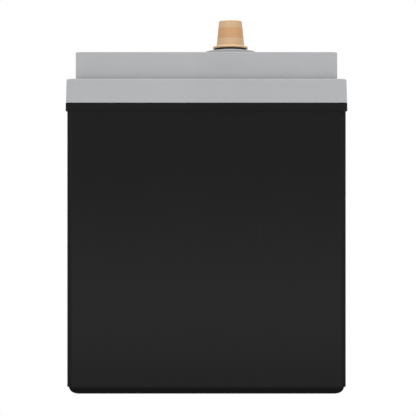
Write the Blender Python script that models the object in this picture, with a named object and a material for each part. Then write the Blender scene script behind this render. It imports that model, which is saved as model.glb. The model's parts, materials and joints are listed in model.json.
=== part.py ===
"""A 12.8 V lithium iron phosphate battery pack in a moulded block case.

X runs across the case, Y along it and Z up. The origin is at the middle of the case's underside. Metres.
"""

from math import asin, cos, degrees, pi, sin

import bmesh
import bpy
from mathutils import Matrix, Vector

# Clearances
TOUCH_GAP = 0.0003  # between two pieces that touch
DROP_CLEARANCE = 0.0005  # between the strapped cell block and the rim that it drops in through
THREAD_CLEARANCE = 0.0003  # round a threaded shank in its nut or hole
OVERCUT = 0.001  # how far a cutter runs past what it cuts

# Case
OVERALL_WIDTH = 0.1730  # over the rim
OVERALL_LENGTH = 0.3300
CASE_HEIGHT = 0.1790  # to the top of the rim
RIM_HEIGHT = 0.00475
RIM_PROUD = 0.0009  # how far the rim stands out from the wall
RIM_THICKNESS = 0.0054
CASE_WALL = 0.0030
CASE_FLOOR = 0.0035
WALL_CORNER_RADIUS = 0.0020
FOOT_HEIGHT = 0.0049
FOOT_STEP = 0.0009  # how far the foot is set in from the wall
FOOT_CORNER_RADIUS = 0.0035
FOOT_EDGE_RADIUS = 0.0052  # round the bottom of the foot
LAND_WIDTH = 0.0140  # flat border of the underside
LAND_RECESS = 0.0008
SMALL_EDGE = 0.0003

# Joint between case and lid
GROOVE_LIP = 0.0017  # wall of the rim outside the groove
GROOVE_WIDTH = 0.0020
GROOVE_DEPTH = 0.0040
TONGUE_CLEARANCE = 0.00025
GASKET_HEIGHT = 0.0012

# Lid
LID_LOWER_HEIGHT = 0.0148
LID_UPPER_HEIGHT = 0.01695
LID_BOTTOM_INSET = 0.00015  # from the rim's outline
LID_LOWER_INSET = 0.00035
LID_LEDGE_WIDTH = 0.0052
LID_WALL = 0.0030
LID_LOWER_EDGE_RADIUS = 0.0012
LID_UPPER_EDGE_RADIUS = 0.0007
LID_CORNER_RADIUS = 0.0030
LABEL_RECESS = (0.1120, 0.1500, 0.0005)  # width, length, depth
LABEL_CORNER_RADIUS = 0.0030
MARK_LENGTH = 0.0130  # polarity marks moulded on the lid
MARK_WIDTH = 0.0030
MARK_HEIGHT = 0.0006
MARK_OFFSET = 0.0340  # from the post to its mark

# Posts
POST_X = 0.0157
POST_INSET = 0.0560  # from the end of the case to the post
POST_BASE_RADIUS = {"negative": 0.00908, "positive": 0.00988}
POST_TAPER = 0.0015  # how much the radius falls from base to top
POST_HEIGHT = 0.0164
POST_EDGE_RADIUS = 0.0005
FLANGE_RADIUS = 0.01147
FLANGE_THICKNESS = 0.0017
SEAL_RADIUS = 0.0104
SEAL_THICKNESS = 0.0008
BOSS_HEIGHT = 0.0069
BOSS_TOP_RADIUS = 0.0125
BOSS_RADIUS = 0.0166
BOSS_CROWN = 0.0009  # how far the boss's top falls from its flat to its side
BOSS_FILLET = 0.0025
SHANK_RADIUS = 0.0050
SQUARE_MARGIN = 0.0005  # how far the square shank's flats stand out from the thread
WASHER_RADIUS = 0.0110
WASHER_THICKNESS = 0.0020
POST_NUT_FLATS = 0.0170
POST_NUT_HEIGHT = 0.0080
SHANK_PROUD = 0.0020  # how far a shank stands out of its nut

# Cells
CELL_COUNT = 4
CELL_THICKNESS = 0.0500
CELL_HEIGHT = 0.1185
CELL_CORNER_RADIUS = 0.0025
CELL_EDGE = 0.0010
TERMINAL_SPACING = 0.0900  # between the two terminals of a cell
TERMINAL_RADIUS = 0.0090
TERMINAL_HEIGHT = 0.0030
STUD_RADIUS = 0.0030
VENT_RADIUS = 0.0080
VENT_HEIGHT = 0.0006
FILL_PORT_X = 0.0230
FILL_PORT_RADIUS = 0.0030
SEPARATOR_THICKNESS = 0.0010
SEPARATOR_INSET = 0.0010
END_PLATE_THICKNESS = 0.0050
END_PLATE_HEIGHT = 0.1120
END_PLATE_RADIUS = 0.0040
STRAP_THICKNESS = 0.0008
STRAP_WIDTH = 0.0160
STRAP_HEIGHTS = {"lower": 0.0300, "upper": 0.0900}  # of its middle above the cells' base
STRAP_SEAL = (0.0260, 0.0012, 0.0180)  # crimped seal: along, proud, high

# Links and nuts on the cells
BUSBAR_THICKNESS = 0.0025
BUSBAR_WIDTH = 0.0200
SENSE_THICKNESS = 0.0008
SENSE_PALM_RADIUS = 0.0050
SENSE_REACH = 0.0078
SENSE_BARREL_RADIUS = 0.0015
SENSE_BARREL_LENGTH = 0.0060
CELL_NUT_FLATS = 0.0100
CELL_NUT_HEIGHT = 0.0050
CELL_NUT_FLANGE_RADIUS = 0.0070
CELL_NUT_FLANGE_THICKNESS = 0.0012

# Foam
FOAM_FLOOR_THICKNESS = 0.0050
FOAM_EDGE = 0.0015
FOAM_TOP = (0.0520, 0.0840)  # width, length

# Battery management board
TRAY_WIDTH = 0.0680
TRAY_SEAT = 0.0096  # how far the tray reaches over each end cell
TRAY_THICKNESS = 0.0025
TRAY_CLEARANCE = 0.0040  # over the studs
TRAY_RIB_X = 0.0280
TRAY_RIB_THICKNESS = 0.0030
STANDOFF_HEIGHT = 0.0045
STANDOFF_RADIUS = 0.0040
BOARD_SIZE = (0.0640, 0.1200)
BOARD_THICKNESS = 0.0016
BOARD_SCREW_X = 0.0260
BOARD_SCREW_Y = 0.0420
SCREW_RADIUS = 0.0020
SCREW_HEAD_RADIUS = 0.0036
SCREW_HEAD_HEIGHT = 0.0026
SCREW_SOCKET_RADIUS = 0.0016
SCREW_LENGTH = 0.0135
TRANSISTOR_SIZE = (0.0100, 0.0130, 0.0045)
TRANSISTOR_X = 0.0110
TRANSISTOR_PITCH = 0.0160
TRANSISTOR_ROWS = 4
HEAT_SINK_SIZE = (0.0600, 0.0940, 0.0030)
HEAT_SINK_FOOT = 0.0080
FIN_HEIGHT = 0.0100
FIN_THICKNESS = 0.0016
FIN_LENGTH = 0.0700
FIN_COUNT = 8
SOLDER_BLOCK_MARGIN = 0.0005  # round the cable that it takes
SOLDER_BLOCK_LENGTH = 0.0080
SOLDER_BLOCK_X = 0.0200
SOLDER_BLOCK_SETBACK = 0.0023  # from the board's edge
PLUG_SIZE = (0.0150, 0.0090, 0.0060)
PLUG_PITCH = 0.0025
SOCKET_LENGTH = 0.0060

# Cables
CABLE_RADIUS = 0.0040
LUG_THICKNESS = {"cell": BUSBAR_THICKNESS, "post": 0.0030}
LUG_PALM_RADIUS = {"cell": 0.0085, "post": 0.0095}
LUG_REACH = 0.0170  # from the stud to the barrel
LUG_BARREL_WALL = 0.0012  # round its cable
LUG_BARREL_LENGTH = 0.0140
WIRE_RADIUS = 0.0009
WIRE_LANE = 0.0024
WIRE_CLIMB = 0.0220  # along the tray while a lead rises to its lane
WIRE_BEND = 0.0090
BEAD_RADIUS = 0.0022
BEAD_LENGTH = 0.0070

# Facets
CORNER_STEPS = 4
ROUND_SIDES = 32
SMALL_SIDES = 12

# Heights, from the floor up
RIM_BASE = CASE_HEIGHT - RIM_HEIGHT
LID_BASE = CASE_HEIGHT + TOUCH_GAP
LEDGE_TOP = LID_BASE + LID_LOWER_HEIGHT
LID_TOP = LEDGE_TOP + LID_UPPER_HEIGHT
CEILING = LID_TOP - LID_WALL
BOSS_TOP = LID_TOP + BOSS_HEIGHT
SEAL_BASE = BOSS_TOP + TOUCH_GAP / 3
FLANGE_BASE = SEAL_BASE + SEAL_THICKNESS + TOUCH_GAP / 3
FLANGE_TOP = FLANGE_BASE + FLANGE_THICKNESS
POST_TOP = FLANGE_TOP + POST_HEIGHT
FOAM_BASE = CASE_FLOOR + TOUCH_GAP
CELL_BASE = FOAM_BASE + FOAM_FLOOR_THICKNESS + TOUCH_GAP
CELL_TOP = CELL_BASE + CELL_HEIGHT
LINK_BASE = CELL_TOP + TERMINAL_HEIGHT + TOUCH_GAP
SENSE_BASE = LINK_BASE + BUSBAR_THICKNESS + TOUCH_GAP
CELL_NUT_BASE = SENSE_BASE + SENSE_THICKNESS + TOUCH_GAP
STUD_TOP = CELL_NUT_BASE + CELL_NUT_HEIGHT + SHANK_PROUD
TRAY_BASE = STUD_TOP + TRAY_CLEARANCE
TRAY_TOP = TRAY_BASE + TRAY_THICKNESS
BOARD_BASE = TRAY_TOP + STANDOFF_HEIGHT + TOUCH_GAP
BOARD_TOP = BOARD_BASE + BOARD_THICKNESS
SINK_BASE = BOARD_TOP + TRANSISTOR_SIZE[2] + TOUCH_GAP
SINK_TOP = SINK_BASE + HEAT_SINK_SIZE[2]
FOAM_TOP_BASE = SINK_TOP + FIN_HEIGHT + TOUCH_GAP

# Places across and along the case
WALL_INSET = RIM_PROUD  # the insets count from the rim's outline
INNER_INSET = WALL_INSET + CASE_WALL
FOOT_INSET = WALL_INSET + FOOT_STEP
POST_Y = OVERALL_LENGTH / 2 - POST_INSET
SQUARE_SHANK = 2 * (SHANK_RADIUS + SQUARE_MARGIN)
CELL_WIDTH = OVERALL_WIDTH - 2 * (RIM_THICKNESS + DROP_CLEARANCE + STRAP_THICKNESS + TOUCH_GAP)
CELL_PITCH = CELL_THICKNESS + SEPARATOR_THICKNESS + 2 * TOUCH_GAP
CELL_Y = [CELL_PITCH * (i - (CELL_COUNT - 1) / 2) for i in range(CELL_COUNT)]
TERMINAL_X = TERMINAL_SPACING / 2
END_PLATE_INNER = CELL_Y[-1] + CELL_THICKNESS / 2 + TOUCH_GAP
END_PLATE_OUTER = END_PLATE_INNER + END_PLATE_THICKNESS
TRAY_LENGTH = 2 * (CELL_Y[-1] - CELL_THICKNESS / 2 + TRAY_SEAT)
STRAP_OUTER = END_PLATE_OUTER + TOUCH_GAP + STRAP_THICKNESS
LUG_BARREL_RADIUS = CABLE_RADIUS + LUG_BARREL_WALL
SOLDER_BLOCK_SIZE = (
    2 * (CABLE_RADIUS + 2 * SOLDER_BLOCK_MARGIN),
    SOLDER_BLOCK_LENGTH,
    2 * (CABLE_RADIUS + SOLDER_BLOCK_MARGIN),
)

# Finishes: colour, roughness, metallic
FINISHES = {
    "black_plastic": ((0.012, 0.012, 0.012), 0.45, 0.0),
    "grey_plastic": ((0.45, 0.46, 0.47), 0.50, 0.0),
    "brass": ((0.66, 0.44, 0.26), 0.35, 1.0),
    "rubber": ((0.015, 0.015, 0.015), 0.80, 0.0),
    "zinc_steel": ((0.60, 0.60, 0.62), 0.35, 1.0),
    "aluminium": ((0.75, 0.76, 0.78), 0.40, 1.0),
    "cell_wrap": ((0.05, 0.16, 0.42), 0.40, 0.0),
    "insulator": ((0.72, 0.66, 0.42), 0.60, 0.0),
    "copper": ((0.72, 0.36, 0.22), 0.30, 1.0),
    "board": ((0.02, 0.16, 0.07), 0.45, 0.0),
    "foam": ((0.05, 0.05, 0.055), 0.95, 0.0),
    "cable_black": ((0.015, 0.015, 0.015), 0.55, 0.0),
    "cable_red": ((0.45, 0.02, 0.02), 0.50, 0.0),
    "plug_white": ((0.75, 0.73, 0.68), 0.50, 0.0),
}


# Making and joining meshes


def material(name, finish):
    colour, roughness, metallic = FINISHES[finish]
    made = bpy.data.materials.new(name)
    made.use_nodes = True
    shader = made.node_tree.nodes["Principled BSDF"]
    shader.inputs["Base Color"].default_value = (*colour, 1.0)
    shader.inputs["Roughness"].default_value = roughness
    shader.inputs["Metallic"].default_value = metallic
    return made


def piece(name, bm, finish, place=(0, 0, 0), turn=0.0):
    """An object made of bm's mesh, turned about Z and set in its place."""
    mesh = bpy.data.meshes.new(name)
    bm.to_mesh(mesh)
    bm.free()
    mesh.materials.append(material(name, finish))
    mesh.shade_smooth()
    mesh.set_sharp_from_angle(angle=pi / 6)
    made = bpy.data.objects.new(name, mesh)
    bpy.context.scene.collection.objects.link(made)
    made.location = place
    made.rotation_euler.z = turn
    made.parent = bpy.data.objects["battery_pack"]
    return made


def combined(operation, body, tools):
    """The body joined with the tools, or cut by them, as a new bmesh."""
    scene = bpy.context.scene.collection
    group = bpy.data.collections.new("tools")
    scene.children.link(group)
    made = []
    for bm in (body, *tools):
        mesh = bpy.data.meshes.new("tool")
        bm.to_mesh(mesh)
        bm.free()
        made.append(bpy.data.objects.new("tool", mesh))
        (group if len(made) > 1 else scene).objects.link(made[-1])
    boolean = made[0].modifiers.new("boolean", "BOOLEAN")
    boolean.operation = operation
    boolean.operand_type = "COLLECTION"
    boolean.collection = group
    graph = bpy.context.evaluated_depsgraph_get()
    result = bmesh.new()
    result.from_mesh(made[0].evaluated_get(graph).data)
    for tool in made:
        bpy.data.meshes.remove(tool.data)
    bpy.data.collections.remove(group)
    return result


def joined(body, *tools):
    return combined("UNION", body, tools)


def cut(body, *tools):
    return combined("DIFFERENCE", body, tools)


def moved(bm, x=0.0, y=0.0, z=0.0, turn=None):
    if turn is not None:
        bm.transform(turn)
    bmesh.ops.translate(bm, verts=bm.verts, vec=(x, y, z))
    return bm


def flipped(bm):
    """Turned upside down about the X axis."""
    return moved(bm, turn=Matrix.Rotation(pi, 4, "X"))


# Basic shapes


def skinned(rings, closed=False):
    """Faces between successive rings, with both ends capped, or the last ring joined to the first."""
    bm = bmesh.new()
    loops = [[bm.verts.new(point) for point in ring] for ring in rings]
    pairs = list(zip(loops, loops[1:]))
    if closed:
        pairs.append((loops[-1], loops[0]))
    else:
        bm.faces.new(reversed(loops[0]))
        bm.faces.new(loops[-1])
    for low, high in pairs:
        for i in range(len(low)):
            bm.faces.new((low[i - 1], low[i], high[i], high[i - 1]))
    return bm


def arc(centre, radius, start, end, steps=CORNER_STEPS):
    """Points of an arc, with its angles in degrees."""
    angles = [(start + (end - start) * i / steps) * pi / 180 for i in range(steps + 1)]
    return [(centre[0] + radius * cos(a), centre[1] + radius * sin(a)) for a in angles]


def rounded_outline(half_x, half_y, radius, steps=CORNER_STEPS):
    """A rectangle with round corners, anticlockwise."""
    x, y = half_x - radius, half_y - radius
    corners = ((x, y), (-x, y), (-x, -y), (x, -y))
    return [p for i, c in enumerate(corners) for p in arc(c, radius, 90 * i, 90 * i + 90, steps)]


def extruded(outline, base, top):
    return skinned([[(x, y, z) for x, y in outline] for z in (base, top)])


def slab(size_x, size_y, base, top, x=0.0, y=0.0):
    """A plain block from base to top, centred on x and y."""
    corners = [(1, 1), (-1, 1), (-1, -1), (1, -1)]
    return extruded([(x + a * size_x / 2, y + b * size_y / 2) for a, b in corners], base, top)


def eased_slab(half_x, half_y, base, top, radius, edge, steps=CORNER_STEPS):
    """A block with round upright edges and a small chamfer round its base and top."""
    sections = ((edge, base), (0, base + edge), (0, top - edge), (edge, top))
    outlines = [
        (rounded_outline(half_x - inset, half_y - inset, radius - inset, steps), z)
        for inset, z in sections
    ]
    return skinned([[(x, y, z) for x, y in outline] for outline, z in outlines])


def turned(profile, sides=ROUND_SIDES):
    """A profile of (radius, z) points spun about Z, running up its outer side."""
    bm = bmesh.new()
    verts = [bm.verts.new((radius, 0, z)) for radius, z in profile]
    edges = [bm.edges.new((a, b)) for a, b in zip(verts, verts[1:])]
    if profile[0][0] > 0:
        edges.append(bm.edges.new((verts[-1], verts[0])))
    bmesh.ops.spin(
        bm, geom=verts + edges, cent=(0, 0, 0), axis=(0, 0, 1), angle=2 * pi, steps=sides
    )
    bmesh.ops.remove_doubles(bm, verts=bm.verts, dist=1e-6)
    bmesh.ops.recalc_face_normals(bm, faces=bm.faces)
    return bm


def drill(radius, base, top, x=0.0, y=0.0, sides=SMALL_SIDES):
    return moved(turned([(0, base), (radius, base), (radius, top), (0, top)], sides), x, y)


def hexagon(flats, base, top, edge):
    """A six-sided block with its upper corners eased."""
    radius = flats / 2 / cos(pi / 6)
    sections = ((radius, base), (radius, top - edge), (radius - edge, top))
    angles = [pi / 3 * i for i in range(6)]
    return skinned([[(r * cos(a), r * sin(a), z) for a in angles] for r, z in sections])


def smooth_route(points, spacing):
    """Points about spacing apart on a smooth curve through the given ones."""
    knots = [Vector(p) for p in points]
    spans = [end - start for start, end in zip(knots, knots[1:])]
    ways = [spans[0].normalized()]
    for before, after in zip(spans, spans[1:]):
        share = before.length / (before.length + after.length)
        ways.append(before.normalized() * (1 - share) + after.normalized() * share)
    ways.append(spans[-1].normalized())
    route = []
    for start, span, way_in, way_out in zip(knots, spans, ways, ways[1:]):
        steps = max(1, round(span.length / spacing))
        bend_in = way_in * span.length - span
        bend_out = way_out * span.length - span
        for t in [i / steps for i in range(steps)]:
            route.append(start + t * span + t * (1 - t) * ((1 - t) * bend_in - t * bend_out))
    return [*route, knots[-1]]


def wire_curve(name, points, radius):
    """A round cable along the points, with closed ends."""
    curve = bpy.data.curves.new(name, "CURVE")
    curve.dimensions = "3D"
    curve.bevel_depth = radius
    curve.bevel_resolution = 2
    curve.use_fill_caps = True
    spline = curve.splines.new("POLY")
    spline.points.add(len(points) - 1)
    for knot, point in zip(spline.points, points):
        knot.co = (*point, 1)
    return curve


def cable(name, points, radius, finish):
    curve = wire_curve(name, smooth_route(points, 1.5 * radius), radius)
    curve.materials.append(material(name, finish))
    made = bpy.data.objects.new(name, curve)
    bpy.context.scene.collection.objects.link(made)
    made.parent = bpy.data.objects["battery_pack"]
    return made


def wire_solid(points, radius):
    """The same cable as a bmesh, to be joined with what is crimped on it."""
    curve = wire_curve("wire", smooth_route(points, 7 * radius), radius)
    made = bpy.data.objects.new("wire", curve)
    bm = bmesh.new()
    bm.from_mesh(made.to_mesh())
    bpy.data.curves.remove(curve)
    bmesh.ops.remove_doubles(bm, verts=bm.verts, dist=1e-6)
    bmesh.ops.recalc_face_normals(bm, faces=bm.faces)
    return bm


# Case and lid


def case_ring(inset, z, corner):
    """The rim's outline drawn in by inset, where corner is the radius that it has with no inset."""
    radius = max(corner - inset, SMALL_EDGE)
    outline = rounded_outline(OVERALL_WIDTH / 2 - inset, OVERALL_LENGTH / 2 - inset, radius)
    return [(x, y, z) for x, y in outline]


def case():
    wall_corner = WALL_CORNER_RADIUS + WALL_INSET
    foot_corner = FOOT_CORNER_RADIUS + FOOT_INSET
    foot_edge = FOOT_INSET + FOOT_EDGE_RADIUS
    foot_turn = 180 + degrees(asin(1 - FOOT_HEIGHT / FOOT_EDGE_RADIUS))
    land_edge = foot_edge + LAND_WIDTH
    groove_outer = GROOVE_LIP
    groove_inner = GROOVE_LIP + GROOVE_WIDTH
    inner_corner = INNER_INSET + CASE_WALL / 3
    foot = [
        (land_edge + LAND_RECESS, LAND_RECESS),
        (land_edge, 0),
        *arc((foot_edge, FOOT_EDGE_RADIUS), FOOT_EDGE_RADIUS, 270, foot_turn, 6),
    ]
    outside = [
        (WALL_INSET + SMALL_EDGE, FOOT_HEIGHT),
        (WALL_INSET, FOOT_HEIGHT + SMALL_EDGE),
        (WALL_INSET, RIM_BASE),
        (SMALL_EDGE, RIM_BASE),
        (0, RIM_BASE + SMALL_EDGE),
        (0, CASE_HEIGHT - SMALL_EDGE),
        (SMALL_EDGE, CASE_HEIGHT),
        (groove_outer, CASE_HEIGHT),
        (groove_outer, CASE_HEIGHT - GROOVE_DEPTH),
        (groove_inner, CASE_HEIGHT - GROOVE_DEPTH),
        (groove_inner, CASE_HEIGHT),
    ]
    inside = [
        (RIM_THICKNESS, CASE_HEIGHT),
        (RIM_THICKNESS, RIM_BASE),
        (INNER_INSET, RIM_BASE - (RIM_THICKNESS - INNER_INSET)),
        (INNER_INSET, CASE_FLOOR),
    ]
    sections = [(foot, foot_corner), (outside, wall_corner), (inside, inner_corner)]
    rings = [case_ring(inset, z, corner) for part, corner in sections for inset, z in part]
    piece("case", skinned(rings), "black_plastic")


def lid_gasket():
    outer = GROOVE_LIP + TOUCH_GAP
    inner = GROOVE_LIP + GROOVE_WIDTH - TOUCH_GAP
    base = CASE_HEIGHT - GROOVE_DEPTH + TOUCH_GAP
    top = base + GASKET_HEIGHT
    corner = WALL_CORNER_RADIUS + WALL_INSET
    sections = ((outer, base), (outer, top), (inner, top), (inner, base))
    rings = [case_ring(inset, z, corner) for inset, z in sections]
    piece("lid_gasket", skinned(rings, closed=True), "rubber")


def lid():
    ledge_edge = LID_LOWER_INSET + LID_LEDGE_WIDTH
    tongue_outer = GROOVE_LIP + TONGUE_CLEARANCE
    tongue_inner = GROOVE_LIP + GROOVE_WIDTH - TONGUE_CLEARANCE
    tongue_base = CASE_HEIGHT - GROOVE_DEPTH + GASKET_HEIGHT + 2 * TOUCH_GAP
    lower_edge, upper_edge = LID_LOWER_EDGE_RADIUS, LID_UPPER_EDGE_RADIUS
    sections = [
        (ledge_edge + LID_WALL, CEILING),
        (ledge_edge + LID_WALL, LEDGE_TOP - LID_WALL),
        (RIM_THICKNESS, LEDGE_TOP - LID_WALL),
        (RIM_THICKNESS, LID_BASE),
        (tongue_inner, LID_BASE),
        (tongue_inner, tongue_base),
        (tongue_outer, tongue_base),
        (tongue_outer, LID_BASE),
        (LID_BOTTOM_INSET, LID_BASE),
        *arc((LID_LOWER_INSET + lower_edge, LEDGE_TOP - lower_edge), lower_edge, 180, 90, 3),
        (ledge_edge, LEDGE_TOP),
        *arc((ledge_edge + upper_edge, LID_TOP - upper_edge), upper_edge, 180, 90, 2),
    ]
    rings = [case_ring(inset, z, LID_CORNER_RADIUS) for inset, z in sections]
    upper = [i for i, (inset, z) in enumerate(sections) if z > LEDGE_TOP or inset == ledge_edge]
    for i in upper:
        rings[i] = case_ring(*sections[i], LID_CORNER_RADIUS + ledge_edge)
    additions = []
    holes = []
    for side in (-1, 1):
        additions.append(moved(boss(), POST_X, side * POST_Y))
        additions += polarity_mark(side)
        hole = SQUARE_SHANK + 2 * TOUCH_GAP
        holes.append(slab(hole, hole, CEILING - OVERCUT, BOSS_TOP + OVERCUT, POST_X, side * POST_Y))
    width, length, depth = LABEL_RECESS
    label = rounded_outline(width / 2, length / 2, LABEL_CORNER_RADIUS)
    holes.append(extruded(label, LID_TOP - depth, LID_TOP + OVERCUT))
    piece("lid", cut(joined(skinned(rings), *additions), *holes), "grey_plastic")


def boss():
    """The raised round seat of a post, sunk a little into the lid's top."""
    edge = BOSS_CROWN * 0.7
    side = BOSS_TOP - BOSS_CROWN - edge
    return turned(
        [
            (0, LID_TOP - LID_WALL / 2),
            (BOSS_RADIUS + BOSS_FILLET, LID_TOP - LID_WALL / 2),
            *arc((BOSS_RADIUS + BOSS_FILLET, LID_TOP + BOSS_FILLET), BOSS_FILLET, 270, 180, 3),
            (BOSS_RADIUS, side),
            (BOSS_RADIUS - edge / 2, side + edge),
            (BOSS_TOP_RADIUS, BOSS_TOP),
            (0, BOSS_TOP),
        ]
    )


def polarity_mark(side):
    """A bar beside the negative post, and a cross beside the positive one."""
    x, y = POST_X - MARK_OFFSET, side * POST_Y
    base, top = LID_TOP - LID_WALL / 2, LID_TOP + MARK_HEIGHT
    bars = [slab(MARK_LENGTH, MARK_WIDTH, base, top, x, y)]
    if side > 0:
        bars.append(slab(MARK_WIDTH, MARK_LENGTH, base, top, x, y))
    return bars


# Posts and what clamps them


def post(polarity, side):
    base = POST_BASE_RADIUS[polarity]
    top = base - POST_TAPER
    edge = POST_EDGE_RADIUS
    thread_end = CEILING + TOUCH_GAP
    shank_base = post_nut_base() - SHANK_PROUD
    body = turned(
        [
            (0, shank_base),
            (SHANK_RADIUS - edge, shank_base),
            (SHANK_RADIUS, shank_base + edge),
            (SHANK_RADIUS, FLANGE_BASE),
            (FLANGE_RADIUS, FLANGE_BASE),
            (FLANGE_RADIUS, FLANGE_TOP - SMALL_EDGE),
            (FLANGE_RADIUS - SMALL_EDGE, FLANGE_TOP),
            (base, FLANGE_TOP),
            *arc((top - edge, POST_TOP - edge), edge, 0, 90, 3),
            (0, POST_TOP),
        ]
    )
    square = slab(SQUARE_SHANK, SQUARE_SHANK, thread_end, FLANGE_BASE + FLANGE_THICKNESS / 2)
    piece(f"post_{polarity}", joined(body, square), "brass", (POST_X, side * POST_Y, 0))


def ring_solid(inner, outer, base, top, sides=2 * SMALL_SIDES):
    return turned([(inner, base), (outer, base), (outer, top), (inner, top)], sides)


def post_nut_base():
    return CEILING - WASHER_THICKNESS - LUG_THICKNESS["post"] - POST_NUT_HEIGHT - 3 * TOUCH_GAP


def post_fixings(polarity, side):
    place = (POST_X, side * POST_Y, 0)
    hole = SHANK_RADIUS + THREAD_CLEARANCE
    square_clearance = SQUARE_SHANK / 2 * 2**0.5 + TOUCH_GAP
    seal = ring_solid(square_clearance, SEAL_RADIUS, SEAL_BASE, SEAL_BASE + SEAL_THICKNESS)
    piece(f"post_seal_{polarity}", seal, "rubber", place)
    washer_top = CEILING - TOUCH_GAP
    washer = ring_solid(hole, WASHER_RADIUS, washer_top - WASHER_THICKNESS, washer_top)
    piece(f"post_washer_{polarity}", washer, "zinc_steel", place)
    base = post_nut_base()
    nut = hexagon(POST_NUT_FLATS, base, base + POST_NUT_HEIGHT, POST_EDGE_RADIUS)
    thread = drill(hole, base - OVERCUT, base + POST_NUT_HEIGHT + OVERCUT)
    piece(f"post_nut_{polarity}", cut(nut, thread), "zinc_steel", place)


# Cell block


def cell_solid():
    half_x, half_y = CELL_WIDTH / 2, CELL_THICKNESS / 2
    can = eased_slab(half_x, half_y, CELL_BASE, CELL_TOP, CELL_CORNER_RADIUS, CELL_EDGE, 3)
    studs = [moved(terminal(), x) for x in (-TERMINAL_X, TERMINAL_X)]
    sunk = CELL_TOP - CELL_EDGE
    vent = drill(VENT_RADIUS, sunk, CELL_TOP + VENT_HEIGHT)
    port = drill(FILL_PORT_RADIUS, sunk, CELL_TOP + VENT_HEIGHT, FILL_PORT_X)
    return joined(can, vent, port, *studs)


def terminal():
    edge = CELL_EDGE / 2
    top = CELL_TOP + TERMINAL_HEIGHT
    return turned(
        [
            (0, CELL_TOP - CELL_EDGE),
            (TERMINAL_RADIUS, CELL_TOP - CELL_EDGE),
            (TERMINAL_RADIUS, top - edge),
            (TERMINAL_RADIUS - edge, top),
            (STUD_RADIUS, top),
            (STUD_RADIUS, STUD_TOP - edge),
            (STUD_RADIUS - edge, STUD_TOP),
            (0, STUD_TOP),
        ],
        SMALL_SIDES,
    )


def cells():
    for i, y in enumerate(CELL_Y):
        piece(f"cell_{i + 1}", cell_solid(), "cell_wrap", (0, y, 0), pi * (i % 2))
    for i, y in enumerate(CELL_Y[1:]):
        sheet = slab(
            CELL_WIDTH - 2 * SEPARATOR_INSET,
            SEPARATOR_THICKNESS,
            CELL_BASE,
            CELL_TOP - CELL_EDGE,
        )
        place = (0, y - CELL_PITCH / 2, 0)
        piece(f"cell_separator_{i + 1}", sheet, "insulator", place)


def end_plates():
    half, radius = CELL_WIDTH / 2, END_PLATE_RADIUS
    y = END_PLATE_OUTER - radius
    outline = [
        *arc((half - radius, y), radius, 0, 90),
        *arc((radius - half, y), radius, 90, 180),
        (-half, END_PLATE_INNER),
        (half, END_PLATE_INNER),
    ]
    for name, turn in (("rear", 0), ("front", pi)):
        plate = extruded(outline, CELL_BASE, CELL_BASE + END_PLATE_HEIGHT)
        piece(f"end_plate_{name}", plate, "aluminium", turn=turn)


def pack_straps():
    half_x = CELL_WIDTH / 2 + TOUCH_GAP
    half_y = END_PLATE_OUTER + TOUCH_GAP
    radius = END_PLATE_RADIUS + TOUCH_GAP
    proud = STRAP_THICKNESS
    inner = rounded_outline(half_x, half_y, radius)
    outer = rounded_outline(half_x + proud, half_y + proud, radius + proud)
    along, seal_proud, high = STRAP_SEAL
    for name, height in STRAP_HEIGHTS.items():
        middle = CELL_BASE + height
        base, top = middle - STRAP_WIDTH / 2, middle + STRAP_WIDTH / 2
        sections = ((outer, base), (outer, top), (inner, top), (inner, base))
        band = skinned([[(x, y, z) for x, y in line] for line, z in sections], closed=True)
        seal = slab(
            along,
            seal_proud,
            middle - high / 2,
            middle + high / 2,
            y=-(half_y + seal_proud / 2 + TOUCH_GAP),
        )
        piece(f"pack_strap_{name}", joined(band, seal), "zinc_steel")


def busbars():
    """Each busbar links two neighbouring cells, on alternate sides."""
    top = LINK_BASE + BUSBAR_THICKNESS
    half = CELL_PITCH / 2
    outline = rounded_outline(BUSBAR_WIDTH / 2, half + BUSBAR_WIDTH / 2, BUSBAR_WIDTH / 4)
    for i, y in enumerate(CELL_Y[:-1]):
        bar = extruded(outline, LINK_BASE, top)
        hole = STUD_RADIUS + THREAD_CLEARANCE
        holes = [drill(hole, LINK_BASE - OVERCUT, top + OVERCUT, 0, s * half) for s in (-1, 1)]
        place = ((-1) ** i * TERMINAL_X, y + half, 0)
        piece(f"busbar_{i + 1}", cut(bar, *holes), "copper", place)


def cell_nuts():
    count = 0
    for y in CELL_Y:
        for x in (-TERMINAL_X, TERMINAL_X):
            count += 1
            piece(f"cell_nut_{count}", cell_nut(), "zinc_steel", (x, y, 0))


def cell_nut():
    base, top = CELL_NUT_BASE, CELL_NUT_BASE + CELL_NUT_HEIGHT
    flange_top = base + CELL_NUT_FLANGE_THICKNESS
    flange = drill(CELL_NUT_FLANGE_RADIUS, base, flange_top)
    hexed = hexagon(CELL_NUT_FLATS, base + CELL_NUT_FLANGE_THICKNESS / 2, top, CELL_EDGE / 2)
    hole = drill(STUD_RADIUS + THREAD_CLEARANCE, base - OVERCUT, top + OVERCUT)
    return cut(joined(flange, hexed), hole)


# Battery management board


def screw_places():
    across, along = BOARD_SCREW_X, BOARD_SCREW_Y
    return [(x, y) for x in (-across, across) for y in (-along, along)]


def screw_holes(base, top):
    hole = SCREW_RADIUS + THREAD_CLEARANCE
    return [drill(hole, base - OVERCUT, top + OVERCUT, x, y) for x, y in screw_places()]


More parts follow.
